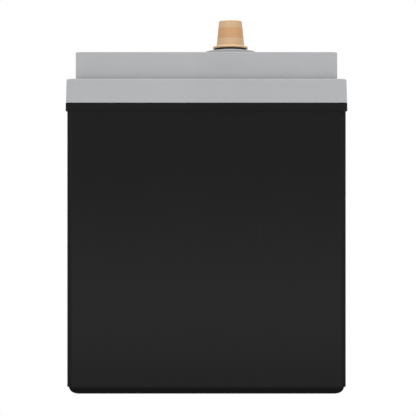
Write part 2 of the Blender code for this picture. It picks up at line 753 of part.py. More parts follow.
def bms_tray():
    plate = slab(TRAY_WIDTH, TRAY_LENGTH, TRAY_BASE, TRAY_TOP)
    rib_base, sunk = CELL_TOP + TOUCH_GAP, TRAY_BASE + TRAY_THICKNESS / 2
    ribs = [
        slab(TRAY_RIB_THICKNESS, TRAY_LENGTH, rib_base, sunk, x) for x in (-TRAY_RIB_X, TRAY_RIB_X)
    ]
    standoffs = [
        drill(STANDOFF_RADIUS, sunk, TRAY_TOP + STANDOFF_HEIGHT, x, y) for x, y in screw_places()
    ]
    holes = screw_holes(TRAY_BASE, TRAY_TOP + STANDOFF_HEIGHT)
    piece("bms_tray", cut(joined(plate, *ribs, *standoffs), *holes), "black_plastic")


def solder_block_y():
    """Middle of the solder blocks at the board's front edge."""
    return -BOARD_SIZE[1] / 2 + SOLDER_BLOCK_SETBACK + SOLDER_BLOCK_SIZE[1] / 2


def bms_board():
    width, length = BOARD_SIZE
    sunk = BOARD_BASE + BOARD_THICKNESS / 2
    size_x, size_y, height = TRANSISTOR_SIZE
    parts = [
        slab(size_x, size_y, sunk, BOARD_TOP + height, x, TRANSISTOR_PITCH * (i - 1.5))
        for x in (-TRANSISTOR_X, TRANSISTOR_X)
        for i in range(TRANSISTOR_ROWS)
    ]
    size_x, size_y, height = SOLDER_BLOCK_SIZE
    for x in (-SOLDER_BLOCK_X, SOLDER_BLOCK_X):
        parts.append(slab(size_x, size_y, sunk, BOARD_TOP + height, x, solder_block_y()))
    board = slab(width, length, BOARD_BASE, BOARD_TOP)
    holes = screw_holes(BOARD_BASE, BOARD_TOP)
    piece("bms_board", cut(joined(board, *parts), *holes), "board")


def bms_heat_sink():
    width, length, thickness = HEAT_SINK_SIZE
    plate = slab(width, length, SINK_BASE, SINK_TOP)
    foot_base, sunk = BOARD_TOP + TOUCH_GAP, SINK_TOP - thickness / 2
    feet = [
        slab(HEAT_SINK_FOOT, HEAT_SINK_FOOT, foot_base, sunk, x, y) for x, y in screw_places()
    ]
    pitch = (width - FIN_THICKNESS) / (FIN_COUNT - 1)
    fins = [
        slab(FIN_THICKNESS, FIN_LENGTH, sunk, SINK_TOP + FIN_HEIGHT, x)
        for x in [pitch * (i - (FIN_COUNT - 1) / 2) for i in range(FIN_COUNT)]
    ]
    holes = screw_holes(foot_base, SINK_TOP)
    piece("bms_heat_sink", cut(joined(plate, *feet, *fins), *holes), "aluminium")


def bms_screws():
    head_base = SINK_TOP + TOUCH_GAP
    head_top = head_base + SCREW_HEAD_HEIGHT
    edge = SCREW_RADIUS / 4
    profile = [
        (0, head_base - SCREW_LENGTH),
        (SCREW_RADIUS - edge, head_base - SCREW_LENGTH),
        (SCREW_RADIUS, head_base - SCREW_LENGTH + edge),
        (SCREW_RADIUS, head_base),
        (SCREW_HEAD_RADIUS, head_base),
        (SCREW_HEAD_RADIUS, head_top - edge),
        (SCREW_HEAD_RADIUS - edge, head_top),
        (0, head_top),
    ]
    for i, (x, y) in enumerate(screw_places()):
        socket_base = head_top - SCREW_HEAD_HEIGHT / 2
        socket = drill(SCREW_SOCKET_RADIUS, socket_base, head_top + OVERCUT, sides=6)
        screw = cut(turned(profile, SMALL_SIDES), socket)
        piece(f"bms_screw_{i + 1}", screw, "zinc_steel", (x, y, 0))


def plug_back():
    return BOARD_SIZE[1] / 2 + SOCKET_LENGTH / 2


def balance_plug():
    """The plug of the sense leads, half on the board's rear edge."""
    width, length, height = PLUG_SIZE
    base, middle_y = BOARD_TOP + TOUCH_GAP, plug_back() - length / 2
    body = slab(width, length, base, base + height, y=middle_y)
    key = slab(width / 2, length / 2, base + height / 2, base + height * 1.2, y=middle_y)
    piece("balance_plug", joined(body, key), "plug_white")


# Cables


def lug(kind, hole):
    """A crimp lug with its hole on the Z axis, its palm along +X and its barrel standing up."""
    palm, reach, thickness = LUG_PALM_RADIUS[kind], LUG_REACH, LUG_THICKNESS[kind]
    outline = [
        *arc((0, 0), palm, 90, 270, 8),
        *arc((reach, 0), LUG_BARREL_RADIUS, 270, 450, 8),
    ]
    plate = extruded(outline, 0, thickness)
    barrel_radius, barrel_top = LUG_BARREL_RADIUS - SMALL_EDGE, thickness + LUG_BARREL_LENGTH
    barrel = drill(barrel_radius, thickness / 2, barrel_top, reach)
    return cut(joined(plate, barrel), drill(hole, -OVERCUT, thickness + OVERCUT))


def lugs():
    """The cell lugs point away from the block's middle, and the post lugs hang from the lid."""
    stud_hole = STUD_RADIUS + THREAD_CLEARANCE
    shank_hole = SHANK_RADIUS + THREAD_CLEARANCE
    cell_places = {"negative": (CELL_Y[0], -pi / 2), "positive": (CELL_Y[-1], pi / 2)}
    for polarity, (y, turn) in cell_places.items():
        place = (-TERMINAL_X, y, LINK_BASE)
        piece(f"lug_cell_{polarity}", lug("cell", stud_hole), "copper", place, turn)
    palm_top = CEILING - WASHER_THICKNESS - 2 * TOUCH_GAP
    post_places = {"negative": (-POST_Y, pi / 2), "positive": (POST_Y, pi)}
    for polarity, (y, turn) in post_places.items():
        hanging = flipped(lug("post", shank_hole))
        piece(f"lug_post_{polarity}", hanging, "copper", (POST_X, y, palm_top), turn)


def shared_route(start, end, shares):
    """Points at the given shares of the way across and of the way up."""
    start = Vector(start)
    way = Vector(end) - start
    return [start + Vector((way.x * a, way.y * a, way.z * b)) for a, b in shares]


def quarter_bend(start, end):
    """Straight down out of the start, then round to run level at the end."""
    turn = [(1 - cos(pi / 8 * i), 0.1 + 0.9 * sin(pi / 8 * i)) for i in range(5)]
    return shared_route(start, end, [(0, 0), *turn])


def double_bend(start, end):
    """Upright out of the start and into the end, leaning over between them."""
    rising = ((0, 0), (0, 0.08), (0.10, 0.35), (0.29, 0.46))
    shares = [*rising, *((1 - a, 1 - b) for a, b in reversed(rising))]
    return shared_route(start, end, shares)


def main_cables():
    """Each cable stands straight out of its lug and runs in one easy bend to its other end."""
    cell_end = LINK_BASE + LUG_THICKNESS["cell"] + LUG_BARREL_LENGTH + TOUCH_GAP
    palm_top = CEILING - WASHER_THICKNESS - 2 * TOUCH_GAP
    post_end = palm_top - LUG_THICKNESS["post"] - LUG_BARREL_LENGTH - TOUCH_GAP
    board_y = solder_block_y() - SOLDER_BLOCK_SIZE[1] / 2 - TOUCH_GAP
    board_z = BOARD_TOP + SOLDER_BLOCK_SIZE[2] / 2
    block_x = SOLDER_BLOCK_X
    front = (-TERMINAL_X, CELL_Y[0] - LUG_REACH)
    rear = (-TERMINAL_X, CELL_Y[-1] + LUG_REACH)
    near = (POST_X, -POST_Y + LUG_REACH)
    far = (POST_X - LUG_REACH, POST_Y)
    crest = board_z + 0.011
    b_minus = [
        (*front, cell_end),
        (*front, cell_end + 0.008),
        (front[0] + 0.004, front[1] + 0.005, crest - 0.006),
        (front[0] + 0.011, front[1] + 0.016, crest),
        (-block_x - 0.002, board_y - 0.013, board_z + 0.004),
        (-block_x, board_y - 0.005, board_z),
        (-block_x, board_y, board_z),
    ]
    p_minus = [
        *quarter_bend((*near, post_end), (block_x, board_y - 0.006, board_z)),
        (block_x, board_y, board_z),
    ]
    positive = double_bend((*rear, cell_end), (*far, post_end))
    cable("cable_b_minus", b_minus, CABLE_RADIUS, "cable_black")
    cable("cable_p_minus", p_minus, CABLE_RADIUS, "cable_black")
    cable("cable_positive", positive, CABLE_RADIUS, "cable_red")


def sense_leads():
    """A small ring under one nut of each link, with its wire run along the tray to the plug.

    Each lead gives its cell, its side, its ring's turn, its pin in the plug and its lane.
    """
    rearwards, inwards = pi / 2, 0
    leads = [
        (0, -1, rearwards, 0, 0),
        (0, 1, rearwards, 4, 0),
        (1, -1, rearwards, 1, 1),
        (2, 1, rearwards, 3, 1),
        (3, -1, inwards, 2, 2),
    ]
    for i, (cell, side, turn, pin, lane) in enumerate(leads):
        ring = Vector((side * TERMINAL_X, CELL_Y[cell], SENSE_BASE))
        direction = Vector((cos(turn), sin(turn), 0))
        start = ring + direction * (SENSE_REACH + SENSE_BARREL_LENGTH - WIRE_RADIUS)
        start.z += SENSE_BARREL_RADIUS + SMALL_EDGE
        end_z = BOARD_TOP + PLUG_SIZE[2] / 2
        end = Vector((PLUG_PITCH * (pin - 2), plug_back() + TOUCH_GAP, end_z))
        wire = wire_solid(sense_route(start, end, direction, side, lane), WIRE_RADIUS)
        piece(f"sense_lead_{i}", joined(moved(sense_ring(turn), *ring), wire), "cable_black")


def sense_ring(turn):
    palm = [
        *arc((0, 0), SENSE_PALM_RADIUS, 30, 330, 10),
        (SENSE_REACH + SENSE_BARREL_RADIUS, -SENSE_BARREL_RADIUS),
        (SENSE_REACH + SENSE_BARREL_RADIUS, SENSE_BARREL_RADIUS),
    ]
    plate = extruded(palm, 0, SENSE_THICKNESS)
    hole = drill(STUD_RADIUS + THREAD_CLEARANCE, -OVERCUT, SENSE_THICKNESS + OVERCUT)
    barrel = moved(
        drill(SENSE_BARREL_RADIUS, 0, SENSE_BARREL_LENGTH, sides=8),
        SENSE_REACH,
        0,
        SENSE_BARREL_RADIUS + SMALL_EDGE,
        Matrix.Rotation(pi / 2, 4, "Y"),
    )
    return moved(joined(cut(plate, hole), barrel), turn=Matrix.Rotation(turn, 4, "Z"))


def sense_route(start, end, direction, side, lane):
    """Up beside the tray, along its edge in a lane of its own, and round its rear end to the plug."""
    half_width, half_length = TRAY_WIDTH / 2, TRAY_LENGTH / 2
    lane_x = side * (half_width + WIRE_LANE * (1.5 + lane))
    rear = max(half_length, plug_back()) + WIRE_LANE * (2.5 + 1.5 * lane)
    climb_end = start.y + WIRE_CLIMB
    bend_start = half_length - WIRE_BEND
    points = [start, start + direction * 0.004]
    if climb_end < bend_start:
        straight = [climb_end, climb_end + WIRE_BEND, bend_start - WIRE_BEND, bend_start]
        points += [Vector((lane_x, y, end.z)) for y in straight if climb_end <= y <= bend_start]
    if start.y < half_length:
        points.append(Vector((side * half_width * 0.7, rear, end.z)))
    else:
        points.append(Vector((start.x + 0.013, rear, (start.z + end.z) / 2)))
    points += [Vector((end.x + side * 0.004, rear, end.z)), end + Vector((0, 0.004, 0)), end]
    return points


def temperature_sensor():
    """A bead on the last cell, on a lead to the board's rear edge."""
    board_edge = BOARD_SIZE[1] / 2 + TOUCH_GAP
    board_z = BOARD_BASE + BOARD_THICKNESS / 2
    clear_y = max(TRAY_LENGTH / 2, board_edge)
    x, y = TRAY_RIB_X * 0.75, clear_y + 0.014
    bead_z = CELL_TOP + BEAD_RADIUS + TOUCH_GAP
    bead = drill(BEAD_RADIUS, 0, BEAD_LENGTH, sides=12)
    bead = moved(bead, x, y, bead_z, Matrix.Rotation(-pi / 2, 4, "X"))
    route = [
        Vector((x, y + WIRE_RADIUS, bead_z)),
        Vector((x, y - 0.005, bead_z + 0.001)),
        Vector((x, clear_y + 0.0045, (bead_z + board_z) / 2)),
        Vector((x, clear_y + 0.0022, board_z)),
        Vector((x, board_edge, board_z)),
    ]
    piece("temperature_sensor", joined(bead, wire_solid(route, WIRE_RADIUS)), "cable_black")


# Foam


def foams():
    half_x = OVERALL_WIDTH / 2 - INNER_INSET - TOUCH_GAP
    half_y = OVERALL_LENGTH / 2 - INNER_INSET - TOUCH_GAP
    radius, edge = 2 * FOAM_EDGE, FOAM_EDGE / 3
    floor_top = FOAM_BASE + FOAM_FLOOR_THICKNESS
    floor = eased_slab(half_x, half_y, FOAM_BASE, floor_top, radius, edge, 2)
    piece("foam_floor", floor, "foam")
    seal_proud = STRAP_SEAL[1] + TOUCH_GAP
    inner = STRAP_OUTER + seal_proud
    length = half_y - inner
    for name, side in (("front", -1), ("rear", 1)):
        block = eased_slab(half_x, length / 2, CELL_BASE, CELL_TOP, radius, edge, 2)
        piece(f"foam_{name}", block, "foam", (0, side * (inner + length / 2), 0))
    half_x, half_y = FOAM_TOP[0] / 2, FOAM_TOP[1] / 2
    top = eased_slab(half_x, half_y, FOAM_TOP_BASE, CEILING - TOUCH_GAP, radius, edge, 2)
    piece("foam_top", top, "foam")


def clear_scene():
    for old in list(bpy.data.objects):
        bpy.data.objects.remove(old)


def build():
    clear_scene()
    root = bpy.data.objects.new("battery_pack", None)
    bpy.context.scene.collection.objects.link(root)
    case()
    lid_gasket()
    lid()
    for polarity, side in (("negative", -1), ("positive", 1)):
        post(polarity, side)
        post_fixings(polarity, side)
    cells()
    end_plates()
    pack_straps()
    busbars()
    cell_nuts()
    bms_tray()
    bms_board()
    bms_heat_sink()
    bms_screws()
    balance_plug()
    lugs()
    main_cables()
    sense_leads()
    temperature_sensor()
    foams()


build()
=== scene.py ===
"""Looks of a 12.8 V battery pack: moulded case and lid, brass posts, and cells and board inside.

X runs across the case, Y along it and Z up, in metres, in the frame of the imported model.
"""

import json
from math import asin, cos, degrees, pi, radians, sin

import bmesh
import bpy
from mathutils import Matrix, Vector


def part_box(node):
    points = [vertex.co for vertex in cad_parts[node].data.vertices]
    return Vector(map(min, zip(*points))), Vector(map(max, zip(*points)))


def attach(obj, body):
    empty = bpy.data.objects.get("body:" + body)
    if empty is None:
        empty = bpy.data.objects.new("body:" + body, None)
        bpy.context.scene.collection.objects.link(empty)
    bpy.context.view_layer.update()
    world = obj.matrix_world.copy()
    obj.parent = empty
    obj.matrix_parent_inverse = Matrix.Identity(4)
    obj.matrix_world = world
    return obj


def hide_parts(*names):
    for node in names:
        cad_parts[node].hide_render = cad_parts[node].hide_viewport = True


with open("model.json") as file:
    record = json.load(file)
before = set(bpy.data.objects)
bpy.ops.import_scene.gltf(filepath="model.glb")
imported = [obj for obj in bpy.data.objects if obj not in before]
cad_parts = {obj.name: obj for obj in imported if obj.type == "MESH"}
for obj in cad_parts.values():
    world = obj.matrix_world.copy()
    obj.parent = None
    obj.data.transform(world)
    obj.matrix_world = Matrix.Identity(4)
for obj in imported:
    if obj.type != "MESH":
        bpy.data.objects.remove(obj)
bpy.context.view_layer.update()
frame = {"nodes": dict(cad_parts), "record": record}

# Sizes that the frame's boxes don't give
RIM_HEIGHT = 0.00475
RIM_PROUD = 0.0009
RIM_THICKNESS = 0.0054
CASE_WALL = 0.0030
CASE_FLOOR = 0.0035
WALL_CORNER = 0.0020
FOOT_HEIGHT = 0.0049
FOOT_STEP = 0.0009
FOOT_EDGE = 0.0052
LAND_WIDTH = 0.0140
LAND_RECESS = 0.0008
GROOVE_LIP = 0.0017
GROOVE_WIDTH = 0.0020
GROOVE_DEPTH = 0.0040
LID_GAP = 0.0003
LEDGE_HEIGHT = 0.0148
UPPER_HEIGHT = 0.01695
LID_BOTTOM_INSET = 0.00005
LID_LOWER_INSET = 0.00035
LID_LIP = 0.0005
LEDGE_WIDTH = 0.0052
LID_WALL = 0.0030
LID_CORNER = 0.0030
LEDGE_EDGE = 0.0012
TOP_EDGE = 0.0007
CASE_EDGE = 0.0003
TONGUE_CLEARANCE = 0.00025
TONGUE_DEPTH = 0.0022
LABEL = (0.1120, 0.1500, 0.0005)
LABEL_CORNER = 0.0030
MARK = (0.0130, 0.0030, 0.0006)
MARK_OFFSET = 0.0340
BOSS_HEIGHT = 0.00675
BOSS_RADIUS = 0.0166
BOSS_TOP_RADIUS = 0.0112
BOSS_CROWN = 0.00075
BOSS_FILLET = 0.0025
TURNED_SIDES, SEAL_SIDES, SHANK_SIDES = 96, 72, 48
SQUARE_SHANK = 0.0110
SQUARE_EDGE = 0.0004
SHANK_HOLE_CORNER = 0.0005
SHANK_RADIUS = 0.0050
SHANK_CHAMFER = 0.0006
SHANK_OVERLAP = 0.0020
POST_HEIGHT = 0.01655
POST_TAPER = 0.0015
POST_EDGE = 0.0005
POST_FILLET = 0.0005
FLANGE_THICKNESS = 0.0017
FLANGE_EDGE = 0.0008
SEAL_SETTLED = 0.0001
SEAL_EDGE = 0.0002
FOAM_CORNER = 0.0030
FOAM_EDGE = 0.0012
FOAM_VOXEL = 0.0025
FOAM_UNEVEN_SCALE = 0.012
FOAM_UNEVEN_DEPTH = 0.0005
POST_BASE_RADIUS = {"negative": 0.00908, "positive": 0.00988}
RUBBED_FROM, RUBBED_FULLY = 0.0042, 0.0032
# Heights above the flange of the painted reflection band on the posts
REFLECTION_BAND_BASE, REFLECTION_BAND_TOP, REFLECTION_BAND_FADE = 0.0043, 0.0113, 0.0012
OVERCUT = 0.0010

case_low, case_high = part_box("case")
RIM_X, RIM_Y, CASE_TOP = case_high
LID_BASE = CASE_TOP + LID_GAP
LEDGE_TOP = LID_BASE + LEDGE_HEIGHT
LID_TOP = LEDGE_TOP + UPPER_HEIGHT
CEILING = LID_TOP - LID_WALL
BOSS_TOP = LID_TOP + BOSS_HEIGHT
FLANGE_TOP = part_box("post_negative")[1].z - POST_HEIGHT
FLANGE_BASE = FLANGE_TOP - FLANGE_THICKNESS


# Camera


def camera():
    """Near the height of the case's middle, square to its front end."""
    distance, height = 0.785, 0.1147
    lens, shift = 110.9, 0.0036
    made = bpy.data.objects.new("camera", bpy.data.cameras.new("camera"))
    bpy.context.scene.collection.objects.link(made)
    made.location = (0, case_low.y - distance, height)
    made.rotation_euler = (pi / 2, 0, 0)
    made.data.lens = lens
    made.data.sensor_width = 36
    made.data.shift_x = shift
    made.data.clip_start = 0.01
    bpy.context.scene.camera = made


# Finishes


class Amount:
    """A number in a node tree. Arithmetic on it adds Math nodes."""

    def __init__(self, finish, socket):
        self.finish, self.socket = finish, socket

    def math(self, operation, *values):
        made = self.finish.node("Math", {"operation": operation}, dict(enumerate(values)))
        return Amount(self.finish, made.outputs[0])

    def __add__(self, other):
        return self.math("ADD", self, other)

    def __radd__(self, other):
        return self.math("ADD", other, self)

    def __sub__(self, other):
        return self.math("SUBTRACT", self, other)

    def __rsub__(self, other):
        return self.math("SUBTRACT", other, self)

    def __mul__(self, other):
        return self.math("MULTIPLY", self, other)

    def __rmul__(self, other):
        return self.math("MULTIPLY", other, self)

    def __truediv__(self, other):
        return self.math("DIVIDE", self, other)

    def __abs__(self):
        return self.math("ABSOLUTE", self)

    def both(self, other):
        """Where both masks are set."""
        return self.math("MINIMUM", self, other)

    def either(self, other):
        """Where at least one of the masks is set."""
        return self.math("MAXIMUM", self, other)

    def ramp(self, low, high):
        """A smooth step from 0 at low to 1 at high."""
        settings = {"interpolation_type": "SMOOTHSTEP"}
        values = {"Value": self, "From Min": low, "From Max": high}
        made = self.finish.node("MapRange", settings, values)
        return Amount(self.finish, made.outputs[0])


class Nodes:
    """A node tree, with one way to add a node."""

    def __init__(self, tree):
        self.tree = tree

    def node(self, kind, settings=None, values=None):
        """Adds a node, sets its settings, and then gives its sockets their values or links."""
        made = self.tree.nodes.new(f"ShaderNode{kind}")
        for key, value in (settings or {}).items():
            setattr(made, key, value)
        for key, value in (values or {}).items():
            self.feed(made.inputs[key], value)
        return made

    def feed(self, socket, value):
        if isinstance(value, Amount):
            value = value.socket
        if isinstance(value, bpy.types.NodeSocket):
            self.tree.links.new(value, socket)
        elif isinstance(value, tuple) and socket.type == "RGBA" and len(value) == 3:
            socket.default_value = (*value, 1)
        else:
            socket.default_value = value

    def axes(self, place):
        parts = self.node("SeparateXYZ", {}, {0: place}).outputs
        return [Amount(self, part) for part in parts]


class Finish(Nodes):
    """A material's nodes."""

    def __init__(self, name, **constants):
        self.material = bpy.data.materials.new(name)
        self.material.use_nodes = True
        super().__init__(self.material.node_tree)
        self.shader = self.tree.nodes["Principled BSDF"]
        for key, value in constants.items():
            self.shader.inputs[SOCKETS[key]].default_value = value
        self.place = self.node("TexCoord").outputs["Object"]
        self.x, self.y, self.z = self.axes(self.place)

    def stretched(self, factors, turn=(0, 0, 0)):
        """The piece's coordinates, scaled along each axis."""
        values = {"Vector": self.place, "Scale": factors, "Rotation": turn}
        return self.node("Mapping", {}, values).outputs[0]

    def noise(self, scale, detail=2.0, roughness=0.5, place=None):
        """Even noise about 0.5, where scale is in spots per metre."""
        values = {
            "Vector": place or self.place,
            "Scale": scale,
            "Detail": detail,
            "Roughness": roughness,
        }
        return Amount(self, self.node("TexNoise", {}, values).outputs["Fac"])

    def cells(self, scale):
        """Distance from the nearest of scattered points, where scale is in points per metre."""
        values = {"Vector": self.place, "Scale": scale}
        return Amount(self, self.node("TexVoronoi", {}, values).outputs["Distance"])

    def saw(self, along, pitch):
        """Runs from 0 to 1 over each pitch."""
        steps = along / pitch
        return steps.math("FRACT", steps)

    def weave(self, threads):
        """A plain weave with that many threads per metre, on faces square to X or Y."""
        across = (abs(self.saw(self.x + self.y, 2 / threads) - 0.5)) * 2
        upwards = (abs(self.saw(self.z, 2 / threads) - 0.5)) * 2
        return across.either(upwards).ramp(0.3, 1.0)

    def mixed(self, amount, first, second):
        """A colour between two colours."""
        values = {"Factor": amount, 6: first, 7: second}
        return self.node("Mix", {"data_type": "RGBA"}, values).outputs[2]

    def relief(self, height, depth, below=None):
        """A bump of that depth in metres, on top of another one."""
        values = {"Height": height, "Distance": depth, "Strength": 1.0}
        if below is not None:
            values["Normal"] = below
        return self.node("Bump", {}, values).outputs[0]

    def paint(self, **sockets):
        for key, value in sockets.items():
            self.feed(self.shader.inputs[SOCKETS[key]], value)
        return self.material


SOCKETS = {
    "colour": "Base Color",
    "roughness": "Roughness",
    "metal": "Metallic",
    "normal": "Normal",
    "coat": "Coat Weight",
    "coat_roughness": "Coat Roughness",
    "specular": "Specular IOR Level",
    "glow": "Emission Color",
    "glow_strength": "Emission Strength",
}
BLACK, WHITE = (0, 0, 0, 1), (1, 1, 1, 1)
FLOOR_SIZE, DOME_RADIUS = 11, 6


def moulded(finish, tone, marked, gloss, grain_depth, rubbed=0.0):
    """Moulded plastic: fine grain, faint flow mottling, scuffs, and dull rubbed corners."""
    grain = finish.noise(2600, 3, 0.6)
    cloud = finish.noise(38, 4, 0.55)
    flow = finish.noise(26, 3, 0.5, finish.stretched((1, 1, 0.25)))
    scratch_way = finish.stretched((900, 900, 30), (0.3, 0.2, 0.6))
    scratches = finish.noise(1, 2, 0.5, scratch_way).ramp(0.70, 0.78)
    patches = finish.noise(55, 3, 0.6).ramp(0.52, 0.70)
    scuffs = scratches.both(patches)
    shade = (cloud - 0.5) * 0.5 + (flow - 0.5) * 0.4 + 0.5
    dark = tuple(c * 0.90 for c in tone)
    light = tuple(c * 1.10 for c in tone)
    colour = finish.mixed(scuffs * 0.35, finish.mixed(shade, dark, light), marked)
    corners = abs(finish.x).ramp(RIM_X - RUBBED_FROM, RIM_X - RUBBED_FULLY)
    corners = corners.both(abs(finish.y).ramp(RIM_Y - RUBBED_FROM, RIM_Y - RUBBED_FULLY))
    roughness = gloss + (cloud - 0.5) * 0.08 + (grain - 0.5) * 0.06 + scuffs * 0.08
    roughness = roughness + corners * rubbed
    normal = finish.relief(grain, grain_depth)
    return finish.paint(colour=colour, roughness=roughness, normal=normal)


def black_plastic():
    finish = Finish("black_plastic", specular=0.20)
    return moulded(finish, (0.0045, 0.0045, 0.0046), (0.026, 0.026, 0.026), 0.22, 0.000004, 0.5)


def grey_plastic():
    finish = Finish("grey_plastic", specular=0.35)
    return moulded(finish, (0.417, 0.423, 0.432), (0.49, 0.49, 0.49), 0.52, 0.00002)


def brass():
    """Turned brass with fine rings, a painted reflection band round a post's middle, and painted
    shadow under its flange.
    """
    finish = Finish("brass", metal=0.9)
    rings = finish.noise(1, 3, 0.7, finish.stretched((40, 40, 5200)))
    feed_lines = finish.noise(1, 2, 0.6, finish.stretched((15, 15, 1150)))
    tarnish = finish.noise(420, 4, 0.6)
    up = finish.z - FLANGE_TOP
    # Painted reflection: a darker, redder band round the post's middle stands in for a dim part of
    # the studio mirrored in the brass
    above_base = up.ramp(REFLECTION_BAND_BASE, REFLECTION_BAND_BASE + REFLECTION_BAND_FADE)
    above_top = up.ramp(REFLECTION_BAND_TOP, REFLECTION_BAND_TOP + REFLECTION_BAND_FADE)
    middle = above_base.both(1 - above_top)
    flange = 1 - up.ramp(-0.0006, -0.0003)
    # Painted shadow: the flange's underside edge turns near-black, where shade falls over the seal
    # below
    under = 1 - up.ramp(-FLANGE_THICKNESS - 0.0001, -FLANGE_THICKNESS + 0.00015)
    # The second colour is the darker tone of the painted reflection band
    bright, reflection_tone = (0.765, 0.527, 0.318), (0.739, 0.417, 0.205)
    polished, dull = (0.700, 0.490, 0.305), (0.590, 0.400, 0.250)
    # Near-black tone of the painted shadow under the flange
    painted_flange_shadow = (0.020, 0.016, 0.012)
    colour = finish.mixed(flange, finish.mixed(middle, bright, reflection_tone), polished)
    turning = rings.ramp(0.30, 0.70) * 0.10 + feed_lines.ramp(0.35, 0.65) * 0.24
    wear = tarnish.ramp(0.50, 0.72) * 0.20 + turning
    colour = finish.mixed(wear * (1 - flange * 0.7), colour, dull)
    # Paints the shadow under the flange
    colour = finish.mixed(under, colour, painted_flange_shadow)
    roughness = 0.42 - flange * 0.05 + (rings - 0.5) * 0.16 + (tarnish - 0.5) * 0.12
    normal = finish.relief(rings, 0.00003, finish.relief(feed_lines, 0.00006))
    return finish.paint(colour=colour, roughness=roughness, normal=normal)


def rubber():
    finish = Finish("rubber", specular=0.2)
    bloom = finish.noise(600, 4, 0.6)
    colour = finish.mixed(bloom.ramp(0.45, 0.8), (0.006, 0.006, 0.006), (0.020, 0.019, 0.018))
    normal = finish.relief(finish.noise(5000, 2), 0.00002)
    return finish.paint(colour=colour, roughness=0.70 + bloom * 0.2, normal=normal)


def zinc_steel():
    """Zinc plate with a faint yellow and blue passivation film, and dull where it was handled."""
    finish = Finish("zinc_steel", metal=1.0)
    film = finish.noise(160, 3, 0.5)
    grit = finish.noise(1800, 3, 0.6)
    colour = finish.mixed(film.ramp(0.35, 0.65), (0.600, 0.615, 0.640), (0.640, 0.620, 0.555))
    colour = finish.mixed(grit.ramp(0.55, 0.80) * 0.5, colour, (0.42, 0.42, 0.42))
    roughness = 0.30 + film * 0.12 + (grit - 0.5) * 0.10
    return finish.paint(colour=colour, roughness=roughness, normal=finish.relief(grit, 0.00001))


def aluminium():
    """Mill finish with rolling lines along Z and small oxide spots."""
    finish = Finish("aluminium", metal=1.0)
    lines = finish.noise(1, 3, 0.7, finish.stretched((2400, 2400, 30)))
    spots = finish.noise(260, 4, 0.6)
    colour = finish.mixed(spots.ramp(0.5, 0.8), (0.745, 0.755, 0.775), (0.560, 0.565, 0.575))
    roughness = 0.34 + (lines - 0.5) * 0.20 + spots * 0.08
    return finish.paint(colour=colour, roughness=roughness, normal=finish.relief(lines, 0.00002))


def cell_wrap():
    """Blue shrunk film: lengthwise tension wrinkles, faint cloudiness and glossy skin."""
    finish = Finish("cell_wrap", coat_roughness=0.12, specular=0.5)
    wrinkles = finish.noise(1, 2, 0.5, finish.stretched((45, 45, 260), (0.12, 0.05, 0)))
    cloud = finish.noise(70, 3, 0.5)
    colour = finish.mixed(cloud, (0.030, 0.120, 0.360), (0.055, 0.170, 0.440))
    colour = finish.mixed(wrinkles.ramp(0.66, 0.76) * 0.5, colour, (0.16, 0.28, 0.54))
    roughness, coat = 0.32 + cloud * 0.12, 0.35 + cloud * 0.2
    normal = finish.relief(wrinkles, 0.0002)
    return finish.paint(colour=colour, roughness=roughness, coat=coat, normal=normal)


def insulator():
    """Epoxy glass sheet, with its weave just showing."""
    finish = Finish("insulator", specular=0.5)
    weave = finish.weave(900)
    stain = finish.noise(45, 4, 0.6)
    colour = finish.mixed(weave, (0.60, 0.54, 0.32), (0.74, 0.69, 0.46))
    colour = finish.mixed(stain.ramp(0.5, 0.8) * 0.4, colour, (0.52, 0.45, 0.25))
    normal = finish.relief(weave, 0.00003)
    return finish.paint(colour=colour, roughness=0.50 + weave * 0.12, normal=normal)


def copper():
    """Bright rolled copper with brown heat stains."""
    finish = Finish("copper", metal=1.0)
    lines = finish.noise(1, 3, 0.7, finish.stretched((60, 3000, 3000)))
    stain = finish.noise(140, 4, 0.6)
    heated = stain.ramp(0.48, 0.75) * 0.8
    colour = finish.mixed(heated, (0.790, 0.400, 0.250), (0.480, 0.220, 0.130))
    roughness = 0.28 + (lines - 0.5) * 0.16 + stain * 0.12
    return finish.paint(colour=colour, roughness=roughness, normal=finish.relief(lines, 0.00001))


def board():
    """Green solder mask over tracks, with tinned pads."""
    finish = Finish("board", specular=0.5, coat_roughness=0.15)
    track_pitch, pads_per_metre, pad_radius = 0.0022, 330, 0.0005
    pad_edge = 0.00005
    regions = finish.noise(120, 2, 0.5).ramp(0.48, 0.52)
    tracks = abs(finish.saw(finish.x, track_pitch) - 0.5).ramp(0.30, 0.34).both(regions)
    smallest, largest = ((pad_radius + way * pad_edge) * pads_per_metre for way in (-1, 1))
    pads = 1 - finish.cells(pads_per_metre).ramp(smallest, largest)
    sparse = finish.noise(240, 1, 0.5).ramp(0.54, 0.58)
    colour = finish.mixed(tracks, (0.012, 0.120, 0.045), (0.020, 0.190, 0.070))
    colour = finish.mixed(pads.both(sparse), colour, (0.62, 0.62, 0.60))
    roughness, coat = 0.38 + regions * 0.08, 0.3 + regions * 0.1
    normal = finish.relief(tracks, 0.00004)
    return finish.paint(colour=colour, roughness=roughness, coat=coat, normal=normal)


def foam():
    """Closed-cell foam: small open bubbles where it was cut, with painted shade darkening their
    pits.
    """
    finish = Finish("foam", specular=0.15)
    bubbles = finish.cells(900)
    cloud = finish.noise(60, 3, 0.5)
    # Painted shade: darker towards each bubble's centre, where the bump dips
    colour = finish.mixed(bubbles.ramp(0.05, 0.75), (0.022, 0.022, 0.024), (0.070, 0.070, 0.076))
    colour = finish.mixed(cloud * 0.4, colour, (0.045, 0.045, 0.050))
    normal = finish.relief(bubbles, 0.00025)
    return finish.paint(colour=colour, roughness=0.86 + cloud * 0.1, normal=normal)


